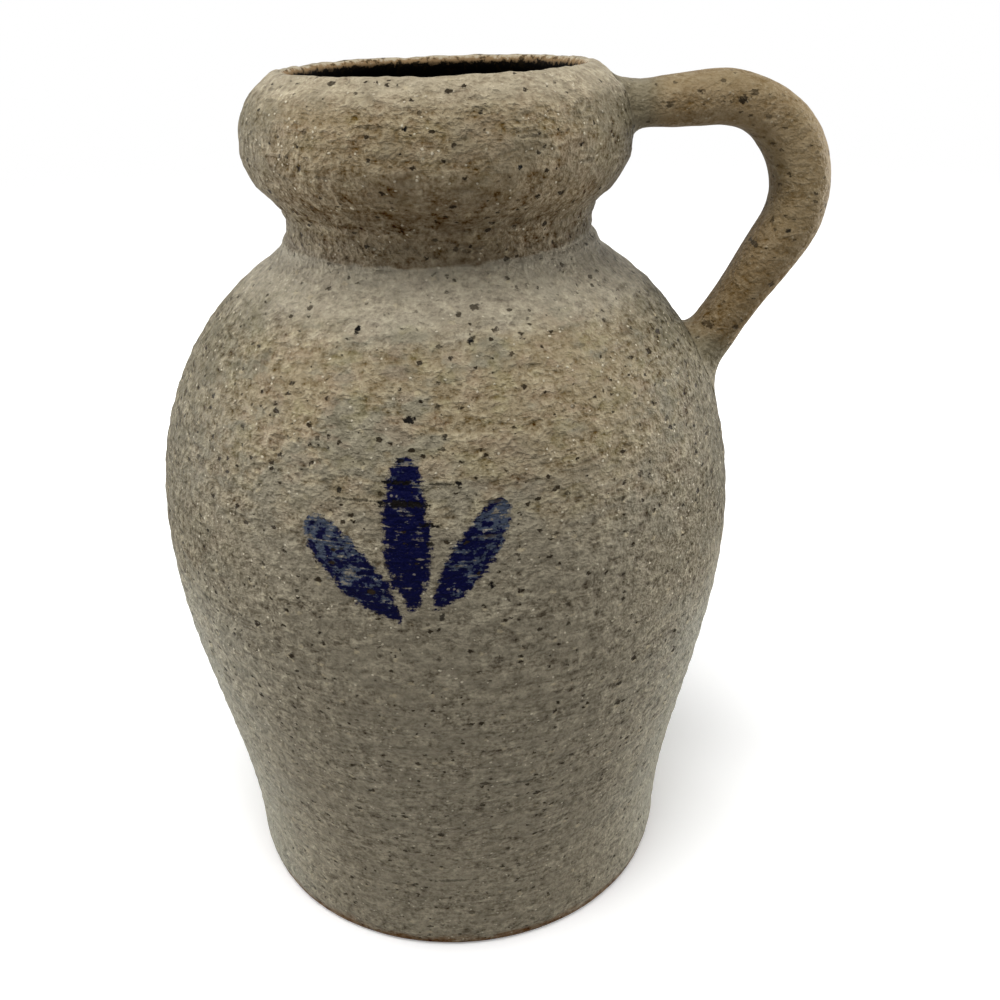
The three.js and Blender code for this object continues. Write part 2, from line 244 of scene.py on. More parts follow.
# clay surface: noise, rings, pits, gouges and grains, all in millimetres
relief = {
    "seed": 41,
    "wobble": 0.30,  # slow unevenness of a hand-thrown wall
    "wobbleSize": 46.0,
    "lumps": 0.17,
    "lumpSize": 8.0,
    "grit": 0.22,
    "gritSize": 2.3,
    "rings": 0.10,  # throwing rings
    "ringPitch": 6.5,
    "lipWave": 0.28,
    "lipWaveSize": 6.0,
    "pits": 620,
    "pitRadius": (0.7, 1.5),
    "pitStretch": (1, 1.7),
    "pitDepth": (0.20, 0.50),
    "gouges": 230,
    "gougeLength": (4.0, 24.0),
    "gougeShare": (0.3, 1),
    "gougeWidth": (0.5, 0.9),
    "gougeDepth": (0.10, 0.26),
    "grains": 900,
    "grainSize": (0.6, 1.1),
    "grainHeight": (0.08, 0.20),
    "latticeSize": 48,
    "proudest": 0.34,  # no grit or mark stands further out than this
}
random = np.random.default_rng(relief["seed"])
latticeSize = relief["latticeSize"]
lattice = random.random((latticeSize, latticeSize, latticeSize))


def cloudNoise(points, size, octaves=1):
    # smooth lattice noise from -1 to 1 at a feature size, for points in millimetres
    total, weight, scale = 0.0, 0.0, 1.0
    for octave in range(octaves):
        p = points * (scale / size) + 11.3 * (octave + 1)
        cell = np.floor(p).astype(int)
        f = p - cell
        f = f * f * (3 - 2 * f)
        ix, iy, iz = (cell[..., i] for i in range(3))
        fx, fy, fz = (f[..., i] for i in range(3))
        value = 0.0
        for dx in (0, 1):
            for dy in (0, 1):
                for dz in (0, 1):
                    place = (ix + dx) % latticeSize, (iy + dy) % latticeSize, (iz + dz) % latticeSize
                    share = (fx if dx else 1 - fx) * (fy if dy else 1 - fy)
                    value = value + lattice[place] * share * (fz if dz else 1 - fz)
        total = total + (value * 2 - 1) / scale
        weight += 1 / scale
        scale *= 2
    return total / weight


def smooth(value, low, high):
    t = np.clip((value - low) / (high - low), 0, 1)
    return t * t * (3 - 2 * t)


def clayRelief(points, r=relief):
    # the part of the relief that any clay surface shares, from its place alone
    lumps = r["lumps"] * cloudNoise(points, r["lumpSize"], 2)
    return lumps + r["grit"] * cloudNoise(points, r["gritSize"], 2)


def rimLift(points):
    # how much the tilt of the lip lifts a place, from the neck upwards
    share = smooth(points[..., 2], wall["neckHeight"], wall["lipHeight"])
    return share * (wall["lipRise"] * points[..., 0] - wall["lipFall"] * points[..., 1])


def wallWarp(points):
    warped = points.copy()
    warped[..., 2] += rimLift(points)
    return warped


def ringMarks(angle, length, r=relief):
    sway = 0.9 * np.sin(angle + 1.0) + 0.6 * np.sin(2 * angle + length / 31)
    return r["rings"] * np.sin(2 * math.pi * (length + sway) / r["ringPitch"] + 2.2 * np.sin(length / 17))


def stamp(height, angles, lengths, radii, place, reach, depth):
    # one dent or grain on the wall grid: reach is (round the wall, along the profile)
    angle, length = place
    rows = np.where(np.abs(lengths - length) < 2.2 * reach[1])[0]
    if not len(rows):
        return
    gap = (angles - angle + math.pi) % (2 * math.pi) - math.pi
    columns = np.where(np.abs(gap) * radii[rows].max() < 1.6 * reach[0] + 2)[0]
    across = gap[columns][None, :] * radii[rows][:, None] / reach[0]
    along = ((lengths[rows] - length) / reach[1])[:, None]
    edge = np.exp(-(np.abs(across) ** 2.6) - along**2 * 1.4)
    height[np.ix_(rows, columns)] += depth * edge


def wallMarks(angles, lengths, radii, r=relief):
    # single marks strewn evenly over the outside
    height = np.zeros((len(lengths), len(angles)))
    low, high = ends["edge"], ends["collarTop"]
    chance = np.where((lengths > low) & (lengths < high), radii, 0)
    chance = np.cumsum(chance * np.gradient(lengths)) / np.sum(chance * np.gradient(lengths))

    def somewhere():
        return random.uniform(0, 2 * math.pi), float(np.interp(random.random(), chance, lengths))

    for _ in range(r["grains"]):
        size = random.uniform(*r["grainSize"])
        stamp(height, angles, lengths, radii, somewhere(), (size, size), random.uniform(*r["grainHeight"]))
    for _ in range(r["gouges"]):
        length = random.uniform(*r["gougeLength"]) * random.uniform(*r["gougeShare"]) / 2
        place, reach = somewhere(), (length, random.uniform(*r["gougeWidth"]))
        stamp(height, angles, lengths, radii, place, reach, -random.uniform(*r["gougeDepth"]))
    for _ in range(r["pits"]):
        size = random.uniform(*r["pitRadius"])
        place, reach = somewhere(), (size * random.uniform(*r["pitStretch"]), size)
        stamp(height, angles, lengths, radii, place, reach, -random.uniform(*r["pitDepth"]))
    return height


def turnedGrid(w=wall):
    # rows of the whole wall, each a ring of columns, with the relief worked in
    def rows(start, end, step):
        return np.linspace(start, end, max(2, round((end - start) / step) + 1))[:-1]

    middle, last = ends["underside"] * 0.02, profileLengths[-1] - 1.0
    stops = (
        (middle, ends["underside"], w["undersideStep"]),
        (ends["underside"], ends["edge"], w["edgeStep"]),
        (ends["edge"], bandAt, w["rowStep"]),
        (bandAt, seamAt - 4, w["bandStep"]),
        (seamAt - 4, seamAt, w["neckStep"]),
        (seamAt, seamAt + 10, w["neckStep"]),
        (seamAt + 10, ends["collarTop"], w["collarStep"]),
        (ends["collarTop"], ends["lip"], w["edgeStep"]),
        (ends["lip"], ends["insideCollar"], w["throatStep"]),
        (ends["insideCollar"], last, w["insideStep"]),
    )
    lengths = np.concatenate([rows(*stop) for stop in stops] + [[last]])
    marks = {}
    lipMiddle = (ends["collarTop"] + ends["lip"]) / 2
    places = {"band": bandAt, "seam": seamAt, "lip": lipMiddle, "inside": ends["insideCollar"]}
    for name, place in places.items():
        marks[name] = int(np.argmin(np.abs(lengths - place)))
    radii, heights = onProfile(lengths)
    ahead, behind = onProfile(lengths + 0.3), onProfile(lengths - 0.3)
    tangent = np.stack((ahead[0] - behind[0], ahead[1] - behind[1]), 1)
    tangent /= np.linalg.norm(tangent, axis=1)[:, None]
    even = np.arange(w["columns"]) * 2 * math.pi / w["columns"]
    angles = even - w["frontColumns"] * np.cos(even)
    cos, sin = np.cos(angles)[None, :], np.sin(angles)[None, :]
    grid = np.stack((radii[:, None] * cos, radii[:, None] * sin, heights[:, None] + 0 * cos), -1)
    out = np.stack((tangent[:, 1:] * cos, tangent[:, 1:] * sin, -tangent[:, :1] + 0 * cos), -1)
    shown = smooth(lengths, ends["underside"], ends["edge"] + 1)
    shown = shown * (1 - smooth(lengths, ends["lip"], ends["lip"] + 3))
    wiped = smooth(lengths, bandAt - 2, bandAt + 3) * (1 - smooth(lengths, seamAt - 1, seamAt + 0.5))
    low = smooth(heights, 85, 40)  # the trimmed foot is smoother
    coarse = (shown * (1 - 0.75 * wiped) * (1 - 0.35 * low))[:, None]
    marked = (shown * (1 - 0.8 * wiped))[:, None]
    ringed = (0.25 + 0.75 * shown)[:, None]
    overFoot = smooth(lengths, ends["edge"], ends["edge"] + 12)[:, None]
    height = clayRelief(grid) * coarse + wallMarks(angles, lengths, radii) * marked
    height += ringMarks(angles[None, :], lengths[:, None]) * ringed * overFoot
    neckLines = (
        (seamAt - w["creaseDrop"], w["creaseRoll"], w["creaseGroove"]),
        (ends["neck"] + w["ledgeRise"], w["ledgeRoll"], w["ledgeGroove"]),
    )
    for place, roll, groove in neckLines:
        # a line round the neck: a low roll of clay under it and a groove over it
        along = lengths[:, None] - place - 0.5 * cloudNoise(grid * (1, 1, 0.1), 16.0)
        soft = 1 + 0.7 * cloudNoise(grid, 13.0)
        rolled = roll * np.exp(-(((along + 0.9) / 1.1) ** 2))
        height += soft * (rolled - groove * np.exp(-(((along - 0.7) / 0.9) ** 2)))
    height = np.minimum(height, relief["proudest"])
    wobble = relief["wobble"] * cloudNoise(grid * (1, 1, 0.5), relief["wobbleSize"])
    sway = wobble * smooth(heights, 6, 40)[:, None]
    onLip = smooth(lengths, ends["collarTop"] - 4, ends["lip"] - 2)
    onLip = onLip * (1 - smooth(lengths, ends["lip"], ends["lip"] + 8))
    placed = grid + out * height[..., None]
    placed[..., :2] += (out * sway[..., None])[..., :2] * np.sign(out[..., :2] * grid[..., :2] + 1e-9)
    placed[..., 2] += relief["lipWave"] * cloudNoise(grid, relief["lipWaveSize"], 2) * onLip[:, None]
    return wallWarp(placed), marks


def gridNormals(grid):
    # outward directions of a whole grid, so that pieces cut from it shade as one skin
    normals = np.cross(np.roll(grid, -1, axis=1) - np.roll(grid, 1, axis=1), np.gradient(grid, axis=0))
    return normals / (np.linalg.norm(normals, axis=-1, keepdims=True) + 1e-12)


def gridMesh(name, grid, closed=False, poles=(), insideFrom=None, normals=None):
    # quads through rows of columns; closed joins the last row to the first, poles fan the ends to a point
    rows, columns = grid.shape[:2]
    vertices = grid.reshape(-1, 3)
    column = np.arange(columns)
    nextColumn = (column + 1) % columns
    faces = []
    for row in range(rows if closed else rows - 1):
        low, high = row * columns, ((row + 1) % rows) * columns
        faces.append(np.stack((low + column, low + nextColumn, high + nextColumn, high + column), 1))
    quads = np.concatenate(faces)
    fans = []
    for pole in poles:
        row = 0 if pole == "start" else rows - 1
        ring = row * columns
        tip = len(vertices)
        vertices = np.vstack((vertices, grid[row].mean(0)))
        pair = (ring + nextColumn, ring + column) if pole == "start" else (ring + column, ring + nextColumn)
        fans.append(np.stack((np.full(columns, tip), *pair), 1))
    mesh = bpy.data.meshes.new(name)
    triangles = [face for fan in fans for face in fan.tolist()]
    mesh.from_pydata((vertices * mm).tolist(), [], quads.tolist() + triangles)
    mesh.shade_smooth()
    if insideFrom is not None:
        kind = np.zeros(len(mesh.polygons), int)
        kind[insideFrom * columns : len(quads)] = 1
        if poles:
            kind[-columns:] = 1
        mesh.polygons.foreach_set("material_index", kind)
    mesh.update()
    if normals is not None:
        # the rows past the given ones are hidden or inside, and keep their own
        own = np.zeros((len(vertices), 3))
        own[: normals.shape[0] * columns] = normals.reshape(-1, 3)
        mesh.normals_split_custom_set_from_vertices(own.tolist())
    piece = bpy.data.objects.new(name, mesh)
    bpy.context.collection.objects.link(piece)
    return piece


grid, marks = turnedGrid()
band, seam, lipTop, inside = (marks[name] for name in ("band", "seam", "lip", "inside"))
gridOut = gridNormals(grid)


def drawnIn(rows, depth):
    # rows moved towards the axis, for the hidden side of a thin piece
    moved = rows.copy()
    reach = np.linalg.norm(moved[..., :2], axis=-1, keepdims=True)
    moved[..., :2] *= (reach - depth) / reach
    moved[..., 2] -= depth * 0.6
    return moved


def makeBody():
    hidden = drawnIn(grid[[band, (band + seam) // 2, seam]], wall["bandDepth"])
    hidden[-1, :, 2] = grid[seam, :, 2]
    rows = np.concatenate((grid[: band + 1], hidden, grid[inside:]))
    normals = gridOut[: band + 1]
    return gridMesh("bodyWall", rows, poles=("start", "end"), insideFrom=band + 3, normals=normals)


def makeBand():
    hidden = drawnIn(grid[[seam, (band + seam) // 2, band]], wall["bandDepth"] - 0.3)
    rows = np.concatenate((grid[band : seam + 1], hidden))
    return gridMesh("wipedBand", rows, closed=True, normals=gridOut[band : seam + 1])


def makeCollar():
    rows = grid[seam : inside + 1]
    normals = gridOut[seam : inside + 1]
    return gridMesh("rolledCollar", rows, closed=True, insideFrom=lipTop - seam, normals=normals)


bodyPiece, bandPiece, collarPiece = makeBody(), makeBand(), makeCollar()
wallFaces = sum(len(piece.data.polygons) for piece in (bodyPiece, bandPiece, collarPiece))
print("wall: body, wiped band and collar,", wallFaces, "faces")

# the pulled handle, and the clay that fairs it into the wall
handle = {
    "drop": 8.3,  # lip to the bar's centre line
    "reach": 90.0,  # axis to the bend's centre line
    "bend": 22.0,
    "barTilt": 4.3,
    "legTilt": 33.0,
    "barRun": 30,
    "legRun": 52,
    "width": 17.6,
    "thickness": ((0, 10.0), (0.2, 12.2), (0.38, 14.9), (0.55, 13.6), (0.78, 11.4), (1, 11.2)),
    "roundOutside": 2.15,  # section squareness on the outer and inner side
    "roundInside": 2.9,
    "roundSides": 2.3,
    "thicknessWaves": ((0.25, 9.0, 0), (0.15, 4.3, 1)),  # height, length and start of each
    "widthWave": (0.3, 13.0, 2),
    "around": 96,
    "along": 190,
    "upperReach": 11.0,
    "lowerReach": 7.0,
    "upperFlare": 2.7,
    "lowerFlare": 3.0,
    "tail": 7.0,
    "luteRows": 16,
    "luteDepth": 1.4,
}


def handleLine(h=handle, steps=700):
    # centre line in the plane through the axis: bar, bend, leg
    centre = np.array((h["reach"] - h["bend"], wall["lipHeight"] - h["drop"] - h["bend"]))
    start, end = math.pi / 2 + math.radians(h["barTilt"]), -math.radians(h["legTilt"])
    turn = np.linspace(start, end, 200)
    bend = centre + h["bend"] * np.stack((np.cos(turn), np.sin(turn)), 1)
    barWay = np.array((math.sin(start), -math.cos(start)))
    bar = bend[0] - np.linspace(h["barRun"], 0, 40, endpoint=False)[:, None] * barWay
    legWay = np.array((math.sin(end), -math.cos(end)))
    leg = bend[-1] + np.linspace(0, h["legRun"], 60)[1:, None] * legWay
    line = np.vstack((bar, bend, leg))
    lengths = np.concatenate(([0], np.cumsum(np.hypot(*np.diff(line, axis=0).T))))
    even = np.linspace(0, lengths[-1], steps)
    return np.stack((np.interp(even, lengths, line[:, 0]), np.interp(even, lengths, line[:, 1])), 1), even


linePoints, lineLengths = handleLine()


def onLine(lengths):
    return [np.interp(lengths, lineLengths, linePoints[:, i]) for i in (0, 1)]


def handleSkin(lengths, turn, h=handle):
    # points on the handle's surface at lengths along it and turns round it, both arrays of one shape
    x, z = onLine(lengths)
    (aheadX, aheadZ), (behindX, behindZ) = onLine(lengths + 0.4), onLine(lengths - 0.4)
    dx, dz = aheadX - behindX, aheadZ - behindZ
    size = np.hypot(dx, dz)
    dx, dz = dx / size, dz / size
    shares, sizes = zip(*h["thickness"])
    half = np.interp(lengths / lineLengths[-1], shares, sizes) / 2
    for wave, run, start in h["thicknessWaves"]:
        half = half + wave * np.sin(lengths / run + start)
    wave, run, start = h["widthWave"]
    wide = h["width"] / 2 + wave * np.sin(lengths / run + start)
    cos, sin = np.cos(turn), np.sin(turn)
    power = 2 / np.where(cos > 0, h["roundOutside"], h["roundInside"])
    up = np.sign(cos) * np.abs(cos) ** power * half
    across = -np.sign(sin) * np.abs(sin) ** (2 / h["roundSides"]) * wide
    return np.stack((x - dz * up, across, z + dx * up), -1)


def clearOfWall(points):
    # how far points stand outside the wall, and the level on it that they belong to
    level = points[..., 2] - rimLift(points)
    return np.hypot(points[..., 0], points[..., 1]) - wallRadius(level), level


def wallPoint(angle, length):
    radius, height = onProfile(length)
    return wallWarp(np.stack((radius * np.cos(angle), radius * np.sin(angle), height), -1))


def handleRows(h=handle):
    # rows from the upper lute's rim over the handle to the lower lute's rim
    turn = np.arange(h["around"]) * 2 * math.pi / h["around"]
    samples = np.linspace(0, lineLengths[-1], 900)
    clear = clearOfWall(handleSkin(samples[:, None] + 0 * turn, turn + 0 * samples[:, None]))[0]
    first = np.argmax(clear > 0, axis=0)
    last = len(samples) - 1 - np.argmax(clear[::-1] > 0, axis=0)
    roots = []  # where the handle meets the collar, then the shoulder
    for index, sign, reach, flare, tail in (
        (first, 1, h["upperReach"], h["upperFlare"], 0.0),
        (last, -1, h["lowerReach"], h["lowerFlare"], h["tail"]),
    ):
        at = samples[index]
        hit = handleSkin(at, turn)
        hitLevel = clearOfWall(hit)[1]
        angle = np.arctan2(hit[:, 1], hit[:, 0])
        place = wallLength(hitLevel)
        way = np.stack((angle * np.hypot(hit[:, 0], hit[:, 1]), place - place.mean()), 1)
        way /= np.linalg.norm(way, axis=1)[:, None]
        below = smooth(-way[:, 1], 0.0, 0.95)
        spread = flare + tail * below**2 * (1 if sign < 0 else 0)
        if sign > 0:
            spread = spread * (0.8 + 0.9 * smooth(way[:, 1], 0.0, 0.9))
        rimAngle = angle + spread * way[:, 0] / wallRadius(hitLevel) * (1 - 0.35 * below * (sign < 0))
        rim = wallPoint(rimAngle, place + spread * way[:, 1])
        inner = wallPoint(angle + 0.2 * (rimAngle - angle), place + 0.2 * spread * way[:, 1])
        along = rim - inner
        along /= np.linalg.norm(along, axis=1)[:, None]
        start = at + sign * reach * (0.75 + 0.25 * spread / spread.max())
        roots.append((start, handleSkin(start, turn), rim, along, sign))
    upperStart, lowerStart = roots[0][0], roots[1][0]
    share = np.linspace(0, 1, h["along"])[:, None]
    body = handleSkin(upperStart * (1 - share) + lowerStart * share, turn + 0 * share)

    def fillet(start, top, rim, along, sign):
        # a smooth sweep from the handle's skin down on to the wall
        towards = handleSkin(start - sign * 1.0, turn) - top
        towards /= np.linalg.norm(towards, axis=1)[:, None]
        pull = np.linalg.norm(rim - top, axis=1)[:, None] * 1.15
        t = np.linspace(0, 1, h["luteRows"] + 1)[1:, None, None]
        return (
            (2 * t**3 - 3 * t**2 + 1) * top
            + (t**3 - 2 * t**2 + t) * towards * pull
            + (3 * t**2 - 2 * t**3) * rim
            + (t**3 - t**2) * along * pull
        )

    upper, lower = (fillet(*root) for root in roots)
    rows = np.concatenate((upper[::-1], body, lower))
    tangentRows = np.gradient(rows, axis=0)
    tangentTurn = np.roll(rows, -1, axis=1) - np.roll(rows, 1, axis=1)
    normal = np.cross(tangentTurn, tangentRows)
    normal /= np.linalg.norm(normal, axis=-1)[..., None] + 1e-12
    pulled = np.zeros(len(rows))
    pulled[h["luteRows"] : -h["luteRows"]] = 1
    pulled = np.convolve(np.pad(pulled, 8, mode="edge"), np.ones(17) / 17, "valid")
    coarse = (0.85 - 0.45 * pulled)[:, None]
    return rows + normal * (np.minimum(clayRelief(rows) * coarse, relief["proudest"]) - 0.05)[..., None]


handleGrid = handleRows()
handleNormals = gridNormals(handleGrid)
lute = handle["luteRows"]


def makeHandle():
    normals = handleNormals[lute:-lute]
    return gridMesh("pulledHandle", handleGrid[lute:-lute], poles=("start", "end"), normals=normals)


def makeLute(name, rows, normals):
    # a thin sleeve of clay: its outside, then its hidden side
    hidden = np.stack([rows[i] - normals[i] * handle["luteDepth"] for i in (-1, len(rows) // 2, 0)])
    return gridMesh(name, np.concatenate((rows, hidden)), closed=True, normals=normals)


handlePiece = makeHandle()
upperLute = makeLute("upperLuteClay", handleGrid[: lute + 1], handleNormals[: lute + 1])
lowerLute = makeLute("lowerLuteClay", handleGrid[-lute - 1 :], handleNormals[-lute - 1 :])
handleFaces = [len(piece.data.polygons) for piece in (handlePiece, upperLute, lowerLute)]
print("handle and its two lutes:", handleFaces, "faces")

# materials: every clay look comes from one recipe, and colours are sRGB from 0 to 255
clay = {
    "warm": (148, 134, 107),
    "grey": (139, 132, 112),
    "olive": (146, 137, 100),
    "pink": (154, 134, 112),
    "low": (133, 125, 107),  # all below the shoulder
    "side": (160, 158, 144),  # painted sheen: lighter and greyer on the sides and back, below the middle of the belly
    "shoulderSideShade": (106, 99, 80),  # painted shade: darker on the sides and back, above it
    "neck": (126, 110, 86),  # painted shade under the collar, which is also warmer
    # painted shade in the crease under the collar and at the seam
    "groove": (84, 70, 50),
    "joint": (122, 117, 98),  # glaze pooled where the handle is worked on
    "collar": (136, 118, 88),
    "band": (157, 149, 131),
    "bareFoot": (108, 80, 50),
    "lip": (182, 170, 146),
    "throat": (140, 115, 82),
    "inside": (16, 14, 12),
    "handle": (140, 121, 91),
    "handleDull": (124, 106, 78),
    "handlePale": (150, 134, 103),
    "handleLegShade": (106, 88, 60),  # painted shade on the leg, down towards the shoulder
    "gritTint": (146, 140, 122),  # how its light and dark is coloured
    # painted shade in the pits' hollows; also the inside's dark mottle
    "pit": (42, 33, 20),
    "iron": (14, 11, 9),
    "shade": (78, 69, 52),
    # painted highlight on the pits' lit edges
    "light": (194, 180, 148),
    "grain": (220, 210, 186),
    "cobalt": (2, 4, 44),
    "washedCobalt": (66, 74, 88),
    "roughness": 0.52,  # on average: the grit moves it up and down
    "specular": 0.04,
    "coat": 0.02,
    "coatRoughness": 0.3,
    "coatIor": 1.4,
}
levels = {
    # heights between which a look changes, from where it starts to where it is full
    "smoothFoot": (100.0, 45.0),
    "bareFoot": (9.0, 5.4),
    "lowClay": (159.0, 124.0),
    # heights of the painted sheen low on the sides and back, and of the painted shade above it
    "side": (116.0, 84.0),
    "shoulderSideShade": (92.0, 120.0),
    "bandFoot": (165.0, 173.0),
    "bandTop": (183.0, 181.5),
    # heights of the painted shade under the collar and in the creases at the seam and the ledge
    "neckFoot": (180.4, 181.2),
    "neckTop": (210.0, 192.0),
    "seamFoot": (180.6, 181.2),
    "seamTop": (183.0, 181.4),
    "ledgeFoot": (187.6, 188.4),
    "ledgeTop": (197.0, 189.0),
    "collar": (186.0, 192.0),
    "lip": (212.0, 219.0),
    "throat": (217.7, 218.6),
    "rim": (218.9, 219.6),
    "handleLegShade": (196.0, 164.0),
    "lowerJoint": (178.0, 171.0),
}
upperJoint = (56.0, 49.0)  # distances from the axis between which it changes
flankTurn = (0.45, 1.25)  # turns from the front, in radians, between which it changes; over these turns the sides take their painted sheen and shade
mottling = {
    # clouds in the clay: size round the wall and up it
    "broad": {"size": 34.0, "up": 22.0},
    "patch": {"size": 9.0, "up": 5.0, "detail": 3.0, "shift": 5.0, "rough": 0.6},
    "tint": {"size": 7.0, "up": 4.0, "shift": 17.0},
    "coarse": {"size": 3.0, "up": 2.3, "shift": 9.0, "rough": 0.55},
    "middle": {"size": 1.5, "up": 1.15, "shift": 21.0, "rough": 0.6},
    "grit": {"size": 0.7, "shift": 13.0, "rough": 0.7},
    "streak": {"size": 14.0, "up": 1.1, "detail": 3.0, "shift": 3.0, "rough": 0.6, "bend": 0.4},
    "frayed": {"size": 1.5, "detail": 3.0, "shift": 12.0, "rough": 0.7},
    "clot": {"size": 2.6, "up": 1.7, "detail": 3.0, "shift": 18.0, "rough": 0.65},
    "dragged": {"size": 9.0, "up": 0.55, "detail": 3.0, "shift": 14.0, "rough": 0.6},
    "glaze": {"size": 1.7, "detail": 3.0, "shift": 9.0, "rough": 0.65},
}
strewn = {
    # strewn spots: how far apart they stand round the wall and up it
    "cells": {"size": 0.8, "up": 0.7, "shift": 13.0, "warp": 0.7},
    "pits": {"size": 4.0, "up": 2.9, "shift": 4.0, "warp": 0.5},
    "pitHighlights": {"size": 4.0, "up": 2.9, "shift": 4.0, "warp": 0.5, "lift": 0.85},  # painted highlights over the pits, where their edge catches the light
    "smallPits": {"size": 2.2, "up": 1.6, "shift": 8.0, "warp": 0.8},
    "scores": {"size": 11.0, "up": 1.7, "shift": 31.0, "warp": 0.35},
}
leaves = {
    # tip round the wall from the front and height, then the far end and the width,
    # and from where and how much it is washed out
    "left": {"tip": (-10.8, 112.4), "end": (-33.0, 134.6), "width": 10.0, "washFrom": 0.52, "wash": 0.95},
    "centre": {"tip": (-8.8, 114.8), "end": (-10.7, 148.2), "width": 10.8, "washFrom": 1.06, "wash": 0.5},
    "right": {"tip": (-4.4, 115.4), "end": (12.6, 139.0), "width": 9.0, "washFrom": 0.46, "wash": 0.85},
}
spots = {
    # iron pits and scratches: round the wall from the front, height, half width, half height, darkness
    "wall": (
        (-28.8, 169.8, 1.0, 0.8, 1.0),
        (-13.9, 170.7, 1.1, 0.5, 1.0),
        (8.1, 168.3, 1.0, 0.6, 1.0),
        (-9.4, 154.9, 1.6, 0.7, 1.0),
        (-0.7, 151.8, 0.7, 0.6, 0.9),
        (-25.5, 140.9, 0.6, 0.6, 0.9),
        (8.4, 121.0, 0.8, 0.8, 1.0),
        (-2.6, 114.1, 0.7, 0.9, 0.8),
        (2.0, 142.9, 0.8, 0.5, 1.0),
        (-1.7, 142.9, 4.2, 0.3, 0.6),
        (-11.4, 143.2, 3.6, 0.45, 1.0),
        (-21.5, 139.3, 6.5, 0.32, 0.6),
        (-10.4, 138.9, 5.6, 0.75, 1.0),
        (-5.2, 134.6, 3.0, 0.5, 1.0),
        (-4.6, 130.6, 1.0, 0.6, 0.9),
        (-12.0, 147.4, 1.5, 0.45, 0.9),
        (-3.3, 25.7, 7.5, 0.4, 0.45),
        (16.2, 61.4, 5.0, 0.4, 0.4),
    ),
    "collar": (
        (-10.7, 210.8, 1.0, 0.6, 1.0),
        (15.1, 213.6, 0.9, 0.5, 0.9),
        (27.5, 202.8, 1.2, 0.6, 1.0),
    ),
    # the same on the handle's near side: distance from the axis, height, then as above
    "handle": (
        (71.9, 211.5, 1.1, 0.9, 0.85),
        (85.5, 180.7, 0.7, 0.6, 0.9),
        (78.6, 176.7, 0.5, 0.7, 0.7),
        (94.9, 186.4, 0.6, 0.6, 0.6),
        (67.9, 156.7, 1.2, 0.9, 0.6),
        (61.3, 213.4, 0.6, 0.4, 0.7),
    ),
}


def tone(colour):
    # an sRGB colour, 0 to 255, as the linear one that a shader takes
    return tuple(c / 255 / 12.92 if c < 11 else ((c / 255 + 0.055) / 1.055) ** 2.4 for c in colour) + (1.0,)


class Signal:
    # a shader value that sums, products and comparisons can be written with

    def __init__(self, tree, socket):
        self.tree, self.socket = tree, socket

    def math(self, operation, *others, clamp=False):
        node = self.tree.nodes.new("ShaderNodeMath")
        node.operation, node.use_clamp = operation, clamp
        for slot, value in zip(node.inputs, (self, *others)):
            if isinstance(value, Signal):
                self.tree.links.new(value.socket, slot)
            else:
                slot.default_value = value
        return Signal(self.tree, node.outputs[0])

    def __add__(self, other):
        return self.math("ADD", other)

    def __sub__(self, other):
        return self.math("SUBTRACT", other)

    def __mul__(self, other):
        return self.math("MULTIPLY", other)

    def __truediv__(self, other):
        return self.math("DIVIDE", other)

    def __neg__(self):
        return self.math("MULTIPLY", -1.0)

    def size(self):
        return self.math("ABSOLUTE")

    def power(self, exponent):
        return self.math("POWER", exponent)

    def most(self, other):
        return self.math("MAXIMUM", other)

    def least(self, other):
        return self.math("MINIMUM", other)

    def between(self, low, high, start=0.0, end=1.0):
        # smoothly from start at low to end at high, and level outside them
        node = self.tree.nodes.new("ShaderNodeMapRange")
        node.interpolation_type = "SMOOTHSTEP"
        self.tree.links.new(self.socket, node.inputs["Value"])
        names = ("From Min", "From Max", "To Min", "To Max")
        values = (low, high, start, end) if low < high else (high, low, end, start)
        for name, value in zip(names, values):
            node.inputs[name].default_value = value
        return Signal(self.tree, node.outputs["Result"])


